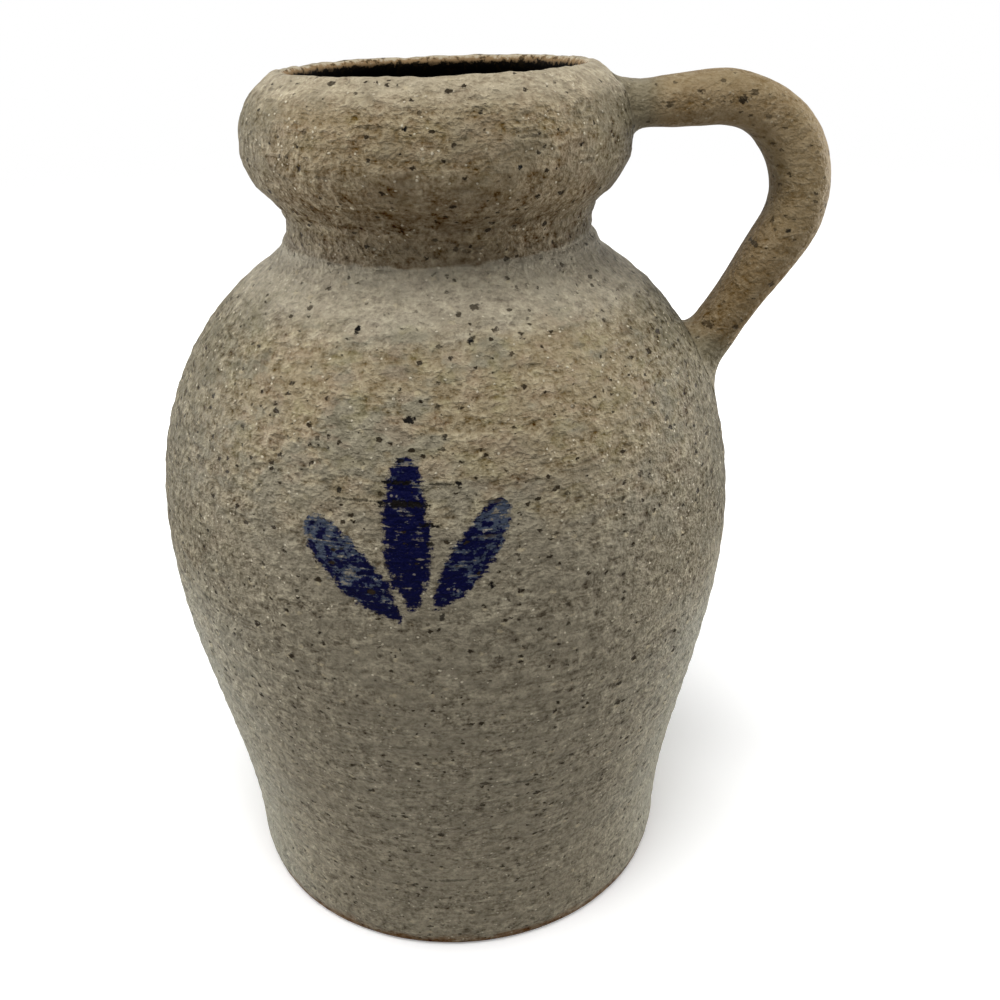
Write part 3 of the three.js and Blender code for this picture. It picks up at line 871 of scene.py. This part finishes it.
class Surface:
    # one material's nodes, with places in millimetres from the jug's own origin

    def __init__(self, name):
        self.material = bpy.data.materials.new(name)
        self.material.use_nodes = True
        self.tree = self.material.node_tree
        self.shader = self.tree.nodes["Principled BSDF"]
        coordinates = self.tree.nodes.new("ShaderNodeTexCoord")
        scaled = self.tree.nodes.new("ShaderNodeVectorMath")
        scaled.operation = "SCALE"
        scaled.inputs["Scale"].default_value = 1 / mm
        self.tree.links.new(coordinates.outputs["Object"], scaled.inputs[0])
        self.place = scaled.outputs[0]
        split = self.tree.nodes.new("ShaderNodeSeparateXYZ")
        self.tree.links.new(self.place, split.inputs[0])
        self.x, self.y, self.z = (Signal(self.tree, split.outputs[i]) for i in range(3))
        self.radius = (self.x * self.x + self.y * self.y).math("SQRT")
        self.angle = self.x.math("ARCTAN2", -self.y)

    def stretched(self, across, up, shift=0.0, lift=0.0):
        # places divided by a feature size round the wall and one up it; lift is in millimetres
        node = self.tree.nodes.new("ShaderNodeVectorMath")
        node.operation = "MULTIPLY_ADD"
        self.tree.links.new(self.place, node.inputs[0])
        node.inputs[1].default_value = (1 / across, 1 / across, 1 / up)
        node.inputs[2].default_value = (shift, shift * 0.7, shift * 1.3 + lift / up)
        return node.outputs[0]

    def noise(self, name):
        return self.cloud(**mottling[name])

    def cloud(self, size, detail=2.0, up=None, shift=0.0, rough=0.5, bend=0.0):
        node = self.tree.nodes.new("ShaderNodeTexNoise")
        self.tree.links.new(self.stretched(size, up or size, shift), node.inputs["Vector"])
        node.inputs["Scale"].default_value = 1.0
        node.inputs["Detail"].default_value = detail
        node.inputs["Roughness"].default_value = rough
        node.inputs["Distortion"].default_value = bend
        return Signal(self.tree, node.outputs["Fac"])

    def dots(self, size, up=None, shift=0.0, warp=0.0, lift=0.0):
        # distance from the nearest of many strewn spots, and two numbers of its own for each spot
        node = self.tree.nodes.new("ShaderNodeTexVoronoi")
        noise = self.tree.nodes.new("ShaderNodeTexNoise")
        noise.inputs["Scale"].default_value = 1.0
        self.tree.links.new(self.stretched(0.9, 0.7), noise.inputs["Vector"])
        bent = self.tree.nodes.new("ShaderNodeVectorMath")
        bent.operation = "MULTIPLY_ADD"
        self.tree.links.new(noise.outputs["Color"], bent.inputs[0])
        bent.inputs[1].default_value = (warp, warp, warp)
        self.tree.links.new(self.stretched(size, up or size, shift, lift), bent.inputs[2])
        self.tree.links.new(bent.outputs[0], node.inputs["Vector"])
        node.inputs["Scale"].default_value = 1.0
        split = self.tree.nodes.new("ShaderNodeSeparateColor")
        self.tree.links.new(node.outputs["Color"], split.inputs[0])
        found = node.outputs["Distance"], *split.outputs[:2]
        return tuple(Signal(self.tree, output) for output in found)

    def mix(self, share, under, over, blend="MIX"):
        node = self.tree.nodes.new("ShaderNodeMix")
        node.data_type, node.blend_type = "RGBA", blend
        slots = [node.inputs[0], node.inputs[6], node.inputs[7]]
        for slot, value in zip(slots, (share, under, over)):
            if isinstance(value, Signal):
                self.tree.links.new(value.socket, slot)
            elif isinstance(value, bpy.types.NodeSocket):
                self.tree.links.new(value, slot)
            else:
                slot.default_value = value if isinstance(value, float) else tone(value)
        return node.outputs[2]

    def finish(self, colour, roughness, height):
        # height in millimetres
        self.tree.links.new(colour, self.shader.inputs["Base Color"])
        self.tree.links.new(roughness.socket, self.shader.inputs["Roughness"])
        bump = self.tree.nodes.new("ShaderNodeBump")
        bump.inputs["Distance"].default_value = mm
        self.tree.links.new(height.socket, bump.inputs["Height"])
        self.tree.links.new(bump.outputs[0], self.shader.inputs["Normal"])
        self.shader.inputs["Specular IOR Level"].default_value = clay["specular"]
        self.shader.inputs["Coat Weight"].default_value = clay["coat"]
        self.shader.inputs["Coat Roughness"].default_value = clay["coatRoughness"]
        self.shader.inputs["Coat IOR"].default_value = clay["coatIor"]
        return self.material


def leafMask(surface, shape, edge, squeeze):
    # how far inside a brushed leaf a place on the wall lies: 1 inside, 0 outside
    tip, end = np.array(shape["tip"]), np.array(shape["end"])
    run = float(np.linalg.norm(end - tip))
    way = (end - tip) / run
    arc = surface.angle * wall["bellyRadius"] - tip[0]
    above = surface.z - tip[1]
    along = (arc * float(way[0]) + above * float(way[1])) / run
    across = (arc * float(way[1]) - above * float(way[0])).size() / (shape["width"] / 2)
    inside = along.between(0.0, 0.001) * along.between(1.0, 0.999)
    share = along.most(0.0).least(1.0)
    rise = (share * 2.0).least(1.0)
    swell = rise * (-rise + 2.0) * (-share.power(6.0) + 1.0).power(0.5)
    return (swell - across + edge - squeeze).between(-0.08, 0.12) * inside, along


def darkSpots(surface, kind, ragged):
    # the named pits and scratches of one clay piece, from 0 to 1
    total = surface.z * 0.0
    for place, height, halfWidth, halfHeight, darkness in spots[kind]:
        if kind == "handle":
            aside = surface.x - place
        else:
            aside = surface.angle * wall["bellyRadius"] - place
        far = (aside / halfWidth).power(2.0) + ((surface.z - height) / halfHeight).power(2.0)
        total = total.most((far + ragged).between(1.25, 0.35) * darkness)
    if kind == "handle":
        total = total * surface.y.between(0.5, -0.5)
    return total


def handleColour(s, broad, patch):
    colour = s.mix(patch.between(0.40, 0.60) * 0.35, clay["handle"], clay["handleDull"])
    colour = s.mix(broad.between(0.46, 0.58) * 0.4, colour, clay["handlePale"])
    # painted shade down the leg
    colour = s.mix(s.z.between(*levels["handleLegShade"]) * 0.5, colour, clay["handleLegShade"])
    lower = (s.z + s.x * 0.3 + (patch - 0.5) * 12.0).between(*levels["lowerJoint"])
    return s.mix(s.radius.between(*upperJoint).most(lower) * 0.7, colour, clay["joint"])


def wallColour(s, broad, patch, tint, wiped):
    def level(name, value=s.z):
        return value.between(*levels[name])

    def ragged(much):
        return (patch - 0.5) * much

    colour = s.mix((broad * 0.5 + patch * 0.5).between(0.44, 0.54), clay["grey"], clay["warm"])
    colour = s.mix(tint.between(0.55, 0.65) * 0.35, colour, clay["olive"])
    colour = s.mix(tint.between(0.45, 0.36) * 0.35, colour, clay["pink"])
    flank = s.angle.size().between(*flankTurn)
    colour = s.mix(level("lowClay", s.z + ragged(40.0)) * (-flank * 0.6 + 0.95), colour, clay["low"])
    # painted shade on the upper sides and back, painted sheen on the lower ones
    colour = s.mix(flank * level("shoulderSideShade") * 0.9, colour, clay["shoulderSideShade"])
    colour = s.mix(flank * level("side") * 0.8, colour, clay["side"])
    colour = s.mix(level("collar") * (-flank * 0.35 + 0.45), colour, clay["collar"])
    neckLine = s.z - s.angle.most(0.0) * 1.6 + ragged(3.0)  # it rises towards the handle
    ledgeLine = s.z - s.angle.size() * 1.4 + ragged(3.0)
    colour = s.mix(wiped * 0.8, colour, clay["band"])
    # painted shade under the collar, less of it on the sides
    under = level("neckTop") * level("neckFoot", neckLine) * (-flank * 0.5 + 0.8)
    colour = s.mix(under, colour, clay["neck"])
    # painted shade in the crease under the collar and along the seam
    groove = level("ledgeFoot", ledgeLine) * level("ledgeTop") * (-flank * 0.8 + 1.0)
    colour = s.mix(groove * 0.45, colour, clay["groove"])
    seamShade = level("seamFoot", neckLine) * level("seamTop", neckLine) * 0.3
    colour = s.mix(seamShade, colour, clay["groove"])
    colour = s.mix(level("lip", s.z + ragged(6.0)) * 0.7, colour, clay["lip"])
    return s.mix(level("bareFoot", s.z + patch * 8.0) * 0.9, colour, clay["bareFoot"])


def brushLeaves(s, colour, cover):
    # the three leaves over a colour, and how far the paint covers it
    frayed = s.noise("frayed") - 0.5
    clot = s.noise("clot") - 0.5
    dragged = s.noise("dragged") - 0.5
    for shape in leaves.values():
        mask, along = leafMask(s, shape, frayed * 0.9, dragged * 0.5)
        bare = (dragged * 0.6 + clot * 0.7 + along * 0.05).between(0.11, 0.16) * (0.3 + 0.4 * shape["wash"])
        washed = (along + clot * 5.0 + dragged * 1.5).between(shape["washFrom"], shape["washFrom"] + 0.3)
        paint = s.mix(washed * shape["wash"], clay["cobalt"], clay["washedCobalt"])
        mask = mask * (-bare + 1.0)
        colour = s.mix(mask, colour, paint)
        cover = cover.most(mask)
    return colour, cover


def clayMaterial(name, kind):
    s = Surface(name)
    broad, patch, tint, coarse, middle, grit, streak = (
        s.noise(k) for k in ("broad", "patch", "tint", "coarse", "middle", "grit", "streak")
    )
    cell, cellTone, cellKind = s.dots(**strewn["cells"])
    pitAt, pitPick, pitSize = s.dots(**strewn["pits"])
    pitHighlightAt, pitHighlightPick = s.dots(**strewn["pitHighlights"])[:2]
    smallAt, smallPick, smallSize = s.dots(**strewn["smallPits"])
    scoreAt, scorePick, scoreSize = s.dots(**strewn["scores"])
    none = s.z * 0.0
    thrown = 1.0
    if kind == "handle":
        thrown = 0.2  # pulled, so hardly streaked
        rough = none + 0.35
        colour = handleColour(s, broad, patch)
    else:
        foot = (s.z + (patch - 0.5) * 16.0).between(*levels["bandFoot"])
        wiped = foot * s.z.between(*levels["bandTop"])
        rough = s.z.between(*levels["smoothFoot"], 1.0, 0.75) * (-wiped * 0.35 + 1.0)
        colour = wallColour(s, broad, patch, tint, wiped)
    cover = none
    if kind == "wall":
        colour, cover = brushLeaves(s, colour, cover)

    # the same clay light and dark by its grit, with less of it where the glaze or paint lies thick
    uneven = patch.between(0.40, 0.58, 0.6, 1.15) * rough.between(0.0, 1.0, 0.4, 1.0) * (-cover + 1.0)
    light = (grit - 0.5) + (middle - 0.5) * 1.4 + (coarse - 0.5) * 1.3 + (streak - 0.5) * (0.8 * thrown)
    light = light + cellTone.between(0.0, 1.0, -0.10, 0.10) * cell.between(0.70, 0.25)
    shade = s.mix(1.0, light * uneven, clay["gritTint"], blend="MULTIPLY")
    colour = s.mix(1.0, colour, shade, blend="ADD")
    pale = cellKind.between(0.965, 0.985) * cell.between(0.50, 0.26) * rough * (-cover * 0.7 + 1.0)
    # painted highlight on the lit edge of each pit
    pitHighlight = pitHighlightPick.between(0.62, 0.66) * pitHighlightAt.between(0.26, 0.08) * rough
    colour = s.mix(pitHighlight * 0.5 * (-cover + 1.0), colour, clay["light"])
    colour = s.mix(pale * 0.7, colour, clay["grain"])
    # pits: a dent, with painted shade in its hollow
    pit = pitPick.between(0.66, 0.86) * (pitAt - pitSize * pitSize * 0.14).between(0.16, 0.06)
    small = smallPick.between(0.66, 0.90) * (smallAt - smallSize * 0.16).between(0.20, 0.08)
    pitDentAndShade = pit.most(small) * (rough * 0.4 + 0.55)
    score = scorePick.between(0.80, 0.84) * (scoreAt - scoreSize * 0.12).between(0.22, 0.08) * rough
    colour = s.mix(score * 0.5, colour, clay["shade"])
    dark = darkSpots(s, kind, (middle - 0.5) * 4.0 + (grit - 0.5) * 3.0)
    # painted shade in the pits
    colour = s.mix(pitDentAndShade, colour, clay["pit"])
    colour = s.mix(dark, colour, clay["iron"])

    height = grit * 0.4 + middle * 0.9 + coarse * 1.5 + streak * (0.3 * thrown) - cell * 0.12
    height = height * (rough * 0.6 + 0.4)
    height = height + (pale + pitHighlight) * 0.10 - pitDentAndShade * 0.4 - dark * 0.15 - score * 0.2
    return s.finish(colour, grit * 0.3 + (clay["roughness"] - 0.15), height)


def insideMaterial():
    # bare rim, then dark glaze
    s = Surface("insideGlaze")
    mottle = s.noise("glaze")
    level = s.z - s.x * wall["lipRise"] + s.y * wall["lipFall"] + (mottle - 0.5) * 4.0
    colour = s.mix(level.between(*levels["throat"]), clay["inside"], clay["throat"])
    colour = s.mix(level.between(*levels["rim"]), colour, clay["lip"])
    colour = s.mix(mottle.between(0.45, 0.39) * 0.7, colour, clay["pit"])
    return s.finish(colour, mottle * 0.2 + 0.45, mottle * 0.16)


bodyLook = clayMaterial("groggedClay", "wall")
collarLook = clayMaterial("collarClay", "collar")
handleLook = clayMaterial("pulledClay", "handle")
insideLook = insideMaterial()
for piece, looks, nodes, slot in (
    (
        bodyPiece,
        (bodyLook, insideLook),
        ("body", "leaf_stroke_left", "leaf_stroke_centre", "leaf_stroke_right"),
        "grog_clay",
    ),
    (collarPiece, (collarLook, insideLook), ("collar",), "grog_clay"),
    (bandPiece, (collarLook,), ("neck_lute",), "wiped_slip"),
    (handlePiece, (handleLook,), ("handle",), "handle_clay"),
    (upperLute, (handleLook,), ("upper_handle_lute",), "wiped_slip"),
    (lowerLute, (handleLook,), ("lower_handle_lute",), "wiped_slip"),
):
    for look in looks:
        piece.data.materials.append(look)
    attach(piece, "root")
    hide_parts(*nodes)
print("materials: set, and each piece put in its solids' place")

# floor, world and lamps
studio = {
    "floorRadius": 1400.0,
    "floorDepth": 0.05,  # below the foot
    "fadeFrom": 350.0,
    "floor": (225, 225, 225),
    "floorSeen": (246, 246, 246),
    "floorGlow": 0.3,  # seen by the camera only, so that the paper is white round the shadow
    "glowRise": 0.5,
    "glowReach": (120.0, 420.0),
    "world": 0.2,
    "lampsAim": (0, 0, 110),
    "lamps": {
        # place and length of the side, in millimetres, and watts
        "top": ((-120, -380, 1400), 600, 16.0),
        "left": ((-1400, 420, 60), 800, 24.0),
        "right": ((1400, 420, 60), 800, 26.0),
    },
}


def makeFloor():
    turn = np.linspace(0, 2 * math.pi, 96, endpoint=False)
    ring = np.stack((np.cos(turn), np.sin(turn), 0 * turn), 1) * studio["floorRadius"]
    ring = ring - (0, 0, studio["floorDepth"])
    mesh = bpy.data.meshes.new("floor")
    mesh.from_pydata((ring * mm).tolist(), [], [list(range(len(ring)))])
    floor = bpy.data.objects.new("floor", mesh)
    bpy.context.collection.objects.link(floor)
    s = Surface("floorPaper")
    s.shader.inputs["Roughness"].default_value = 0.95
    s.shader.inputs["Specular IOR Level"].default_value = 0.0
    fade = s.radius.between(studio["fadeFrom"], studio["floorRadius"] * 0.95, 1.0, 0.0)
    s.tree.links.new(fade.socket, s.shader.inputs["Alpha"])
    path = s.tree.nodes.new("ShaderNodeLightPath")
    seen = Signal(s.tree, path.outputs["Is Camera Ray"])
    s.tree.links.new(s.mix(seen, studio["floor"], studio["floorSeen"]), s.shader.inputs["Base Color"])
    glow = seen * (s.radius.between(*studio["glowReach"]) * studio["glowRise"] + studio["floorGlow"])
    s.tree.links.new(glow.socket, s.shader.inputs["Emission Strength"])
    s.shader.inputs["Emission Color"].default_value = (1, 1, 1, 1)
    mesh.materials.append(s.material)


def makeWorld():
    world = bpy.data.worlds.new("studio")
    world.use_nodes = True
    tree = world.node_tree
    background = tree.nodes["Background"]
    background.inputs["Color"].default_value = (1, 1, 1, 1)
    path = tree.nodes.new("ShaderNodeLightPath")
    seen = Signal(tree, path.outputs["Is Camera Ray"]).most(Signal(tree, path.outputs["Is Glossy Ray"]))
    seen = seen.most(Signal(tree, path.outputs["Is Transmission Ray"]))
    strength = seen * (1 - studio["world"]) + studio["world"]
    tree.links.new(strength.socket, background.inputs["Strength"])
    bpy.context.scene.world = world


def makeLamps():
    for name, (place, side, watts) in studio["lamps"].items():
        lamp = bpy.data.lights.new(name, "AREA")
        lamp.size, lamp.energy = side * mm, watts
        thing = bpy.data.objects.new(name, lamp)
        thing.location = Vector(place) * mm
        aim = Vector(studio["lampsAim"]) * mm - thing.location
        thing.rotation_euler = aim.to_track_quat("-Z", "Y").to_euler()
        bpy.context.collection.objects.link(thing)


makeFloor()
makeWorld()
makeLamps()
bpy.context.scene.view_settings.view_transform = "Standard"
print("studio: set")
